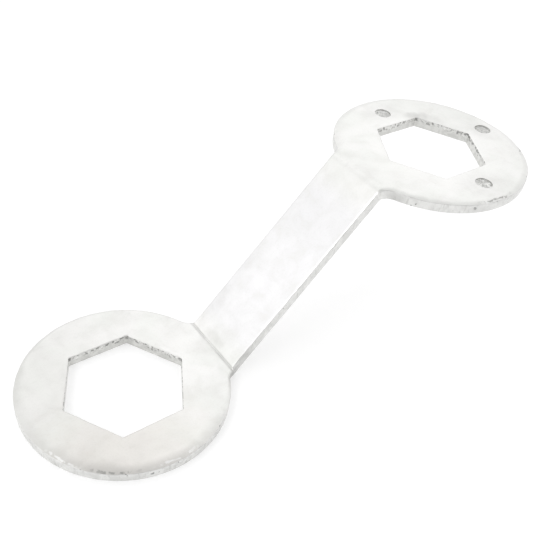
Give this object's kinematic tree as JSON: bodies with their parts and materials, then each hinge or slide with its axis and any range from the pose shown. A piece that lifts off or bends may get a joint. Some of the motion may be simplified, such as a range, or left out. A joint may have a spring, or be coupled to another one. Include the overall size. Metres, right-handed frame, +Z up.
{
  "type": "offset double-ended hexagon ring wrench",
  "caption": "Flat steel ring wrench bent into a Z, with a round head and a hexagon hole at each end in parallel planes, and drive pins under the upper head.",
  "frame": {"origin": "middle of the wrench's footprint, on the surface that the lower head lies on", "axes": "+X along the wrench from the lower head with the larger hexagon to the upper head with the smaller one, +Z up, square to both heads"},
  "size_m": [0.2134, 0.0782, 0.0672],
  "materials": {
    "zinc_plated_steel": "bright zinc plating, satin, cloudy, with grey sheared edges",
    "pin_steel": "dull grey steel, peened ends"
  },
  "bodies": {
    "root": {"wrench_plate": "zinc_plated_steel", "drive_pin_front": "pin_steel", "drive_pin_left": "pin_steel", "drive_pin_right": "pin_steel"}
  },
  "joints": []
}
